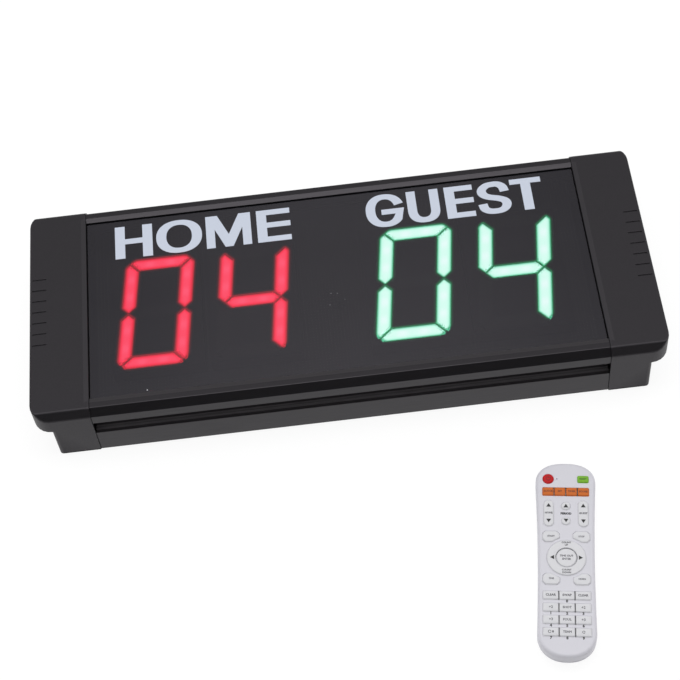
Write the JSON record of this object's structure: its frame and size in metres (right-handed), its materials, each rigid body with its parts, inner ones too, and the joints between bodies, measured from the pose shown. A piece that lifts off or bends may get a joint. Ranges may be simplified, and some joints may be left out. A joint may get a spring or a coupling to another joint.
{
  "type": "electronic scoreboard",
  "caption": "Tabletop electronic scoreboard in a black extruded housing with end caps, leaning LED digits for two teams, and a pale infrared handset with rubber keys.",
  "frame": {"origin": "middle of the flat back of the board, which lies on the surface", "axes": "+X along the board to the right as its face is read, +Y up its face, +Z out of its face"},
  "size_m": [0.467, 0.4026, 0.0522],
  "materials": {
    "anodised_aluminium": "black anodised, satin, with a fine drawn grain",
    "cap_plastic": "black moulded plastic with a fine spark texture",
    "smoked_panel": "smoked acrylic sheet, glossy",
    "digit_black": "matt black moulding",
    "red_light_guide": "diffusing red bars, lit where the number shows",
    "green_light_guide": "diffusing green bars, lit where the number shows",
    "circuit_board": "green solder mask",
    "black_component": "moulded black components",
    "screw_steel": "black zinc screws",
    "handset_shell": "pale lilac grey moulded plastic, satin",
    "key_rubber": "pale grey silicone rubber",
    "red_rubber": "red silicone rubber",
    "green_rubber": "green silicone rubber",
    "orange_rubber": "orange silicone rubber",
    "emitter_plastic": "dark infrared-clear plastic",
    "cell_wrap": "printed metal sleeve",
    "contact_metal": "nickel-plated spring steel"
  },
  "bodies": {
    "board": {"housing_profile": "anodised_aluminium", "front_panel": "smoked_panel", "left_end_cap": "cap_plastic", "right_end_cap": "cap_plastic", "left_upper_cap_screw": "screw_steel", "left_lower_cap_screw": "screw_steel", "right_upper_cap_screw": "screw_steel", "right_lower_cap_screw": "screw_steel", "home_tens_housing": "digit_black", "home_tens_light_guide": "red_light_guide", "home_units_housing": "digit_black", "home_units_light_guide": "red_light_guide", "guest_tens_housing": "digit_black", "guest_tens_light_guide": "green_light_guide", "guest_units_housing": "digit_black", "guest_units_light_guide": "green_light_guide", "display_board": "circuit_board", "control_board": "circuit_board", "buzzer": "black_component", "infrared_receiver": "black_component", "power_inlet": "black_component", "power_lead": "black_component"},
    "handset": {"handset_top_shell": "handset_shell", "handset_bottom_shell": "handset_shell", "handset_board": "circuit_board", "keypad_mat": "key_rubber", "infrared_emitter": "emitter_plastic", "cell_1": "cell_wrap", "cell_2": "cell_wrap", "contact_bridge": "contact_metal"},
    "battery_door": {"battery_door": "handset_shell"},
    "power_key": {"power_key": "red_rubber"},
    "reset_key": {"reset_key": "green_rubber"},
    "period_up_key": {"period_up_key": "key_rubber"},
    "period_down_key": {"period_down_key": "key_rubber"},
    "nav_centre_key": {"nav_centre_key": "key_rubber"},
    "mode_key_1": {"mode_key_1": "orange_rubber"},
    "mode_key_2": {"mode_key_2": "orange_rubber"},
    "mode_key_3": {"mode_key_3": "orange_rubber"},
    "mode_key_4": {"mode_key_4": "orange_rubber"},
    "upper_left_key": {"upper_left_key": "key_rubber"},
    "upper_right_key": {"upper_right_key": "key_rubber"},
    "lower_left_key": {"lower_left_key": "key_rubber"},
    "lower_right_key": {"lower_right_key": "key_rubber"},
    "home_clear_key": {"home_clear_key": "key_rubber"},
    "key_0": {"key_0": "key_rubber"},
    "guest_clear_key": {"guest_clear_key": "key_rubber"},
    "key_1": {"key_1": "key_rubber"},
    "key_2": {"key_2": "key_rubber"},
    "key_3": {"key_3": "key_rubber"},
    "key_4": {"key_4": "key_rubber"},
    "key_5": {"key_5": "key_rubber"},
    "key_6": {"key_6": "key_rubber"},
    "key_7": {"key_7": "key_rubber"},
    "key_8": {"key_8": "key_rubber"},
    "key_9": {"key_9": "key_rubber"},
    "home_rocker": {"home_rocker": "key_rubber"},
    "guest_rocker": {"guest_rocker": "key_rubber"},
    "nav_ring": {"nav_ring": "key_rubber"}
  },
  "joints": [
    {"name": "handset_lift", "type": "slide", "parent": "board", "child": "handset", "axis": [0, 0, 1], "range_m": [0, 0.1]},
    {"name": "battery_door_slide", "type": "slide", "parent": "handset", "child": "battery_door", "axis": [-0.153, -0.9882, 0], "range_m": [0, 0.058]},
    {"name": "power_key_press", "type": "slide", "parent": "handset", "child": "power_key", "axis": [0, 0, -1], "range_m": [0, 0.0008], "stiffness_N_per_m": 300},
    {"name": "reset_key_press", "type": "slide", "parent": "handset", "child": "reset_key", "axis": [0, 0, -1], "range_m": [0, 0.0008], "stiffness_N_per_m": 300},
    {"name": "period_up_key_press", "type": "slide", "parent": "handset", "child": "period_up_key", "axis": [0, 0, -1], "range_m": [0, 0.0008], "stiffness_N_per_m": 300},
    {"name": "period_down_key_press", "type": "slide", "parent": "handset", "child": "period_down_key", "axis": [0, 0, -1], "range_m": [0, 0.0008], "stiffness_N_per_m": 300},
    {"name": "nav_centre_key_press", "type": "slide", "parent": "handset", "child": "nav_centre_key", "axis": [0, 0, -1], "range_m": [0, 0.0008], "stiffness_N_per_m": 300},
    {"name": "mode_key_1_press", "type": "slide", "parent": "handset", "child": "mode_key_1", "axis": [0, 0, -1], "range_m": [0, 0.0008], "stiffness_N_per_m": 300},
    {"name": "mode_key_2_press", "type": "slide", "parent": "handset", "child": "mode_key_2", "axis": [0, 0, -1], "range_m": [0, 0.0008], "stiffness_N_per_m": 300},
    {"name": "mode_key_3_press", "type": "slide", "parent": "handset", "child": "mode_key_3", "axis": [0, 0, -1], "range_m": [0, 0.0008], "stiffness_N_per_m": 300},
    {"name": "mode_key_4_press", "type": "slide", "parent": "handset", "child": "mode_key_4", "axis": [0, 0, -1], "range_m": [0, 0.0008], "stiffness_N_per_m": 300},
    {"name": "upper_left_key_press", "type": "slide", "parent": "handset", "child": "upper_left_key", "axis": [0, 0, -1], "range_m": [0, 0.0008], "stiffness_N_per_m": 300},
    {"name": "upper_right_key_press", "type": "slide", "parent": "handset", "child": "upper_right_key", "axis": [0, 0, -1], "range_m": [0, 0.0008], "stiffness_N_per_m": 300},
    {"name": "lower_left_key_press", "type": "slide", "parent": "handset", "child": "lower_left_key", "axis": [0, 0, -1], "range_m": [0, 0.0008], "stiffness_N_per_m": 300},
    {"name": "lower_right_key_press", "type": "slide", "parent": "handset", "child": "lower_right_key", "axis": [0, 0, -1], "range_m": [0, 0.0008], "stiffness_N_per_m": 300},
    {"name": "home_clear_key_press", "type": "slide", "parent": "handset", "child": "home_clear_key", "axis": [0, 0, -1], "range_m": [0, 0.0008], "stiffness_N_per_m": 300},
    {"name": "key_0_press", "type": "slide", "parent": "handset", "child": "key_0", "axis": [0, 0, -1], "range_m": [0, 0.0008], "stiffness_N_per_m": 300},
    {"name": "guest_clear_key_press", "type": "slide", "parent": "handset", "child": "guest_clear_key", "axis": [0, 0, -1], "range_m": [0, 0.0008], "stiffness_N_per_m": 300},
    {"name": "key_1_press", "type": "slide", "parent": "handset", "child": "key_1", "axis": [0, 0, -1], "range_m": [0, 0.0008], "stiffness_N_per_m": 300},
    {"name": "key_2_press", "type": "slide", "parent": "handset", "child": "key_2", "axis": [0, 0, -1], "range_m": [0, 0.0008], "stiffness_N_per_m": 300},
    {"name": "key_3_press", "type": "slide", "parent": "handset", "child": "key_3", "axis": [0, 0, -1], "range_m": [0, 0.0008], "stiffness_N_per_m": 300},
    {"name": "key_4_press", "type": "slide", "parent": "handset", "child": "key_4", "axis": [0, 0, -1], "range_m": [0, 0.0008], "stiffness_N_per_m": 300},
    {"name": "key_5_press", "type": "slide", "parent": "handset", "child": "key_5", "axis": [0, 0, -1], "range_m": [0, 0.0008], "stiffness_N_per_m": 300},
    {"name": "key_6_press", "type": "slide", "parent": "handset", "child": "key_6", "axis": [0, 0, -1], "range_m": [0, 0.0008], "stiffness_N_per_m": 300},
    {"name": "key_7_press", "type": "slide", "parent": "handset", "child": "key_7", "axis": [0, 0, -1], "range_m": [0, 0.0008], "stiffness_N_per_m": 300},
    {"name": "key_8_press", "type": "slide", "parent": "handset", "child": "key_8", "axis": [0, 0, -1], "range_m": [0, 0.0008], "stiffness_N_per_m": 300},
    {"name": "key_9_press", "type": "slide", "parent": "handset", "child": "key_9", "axis": [0, 0, -1], "range_m": [0, 0.0008], "stiffness_N_per_m": 300},
    {"name": "home_rocker_tilt", "type": "hinge", "parent": "handset", "child": "home_rocker", "pos_m": [0.1281, -0.19875, 0.01565], "axis": [0.9882, -0.153, 0], "range_deg": [-3, 3], "stiffness_Nm_per_rad": 0.02},
    {"name": "guest_rocker_tilt", "type": "hinge", "parent": "handset", "child": "guest_rocker", "pos_m": [0.15201, -0.20245, 0.01565], "axis": [0.9882, -0.153, 0], "range_deg": [-3, 3], "stiffness_Nm_per_rad": 0.02},
    {"name": "nav_ring_tilt", "type": "hinge", "parent": "handset", "child": "nav_ring", "pos_m": [0.13476, -0.23479, 0.01565], "axis": [0.153, 0.9882, 0], "range_deg": [-2.3, 2.3], "stiffness_Nm_per_rad": 0.03}
  ]
}
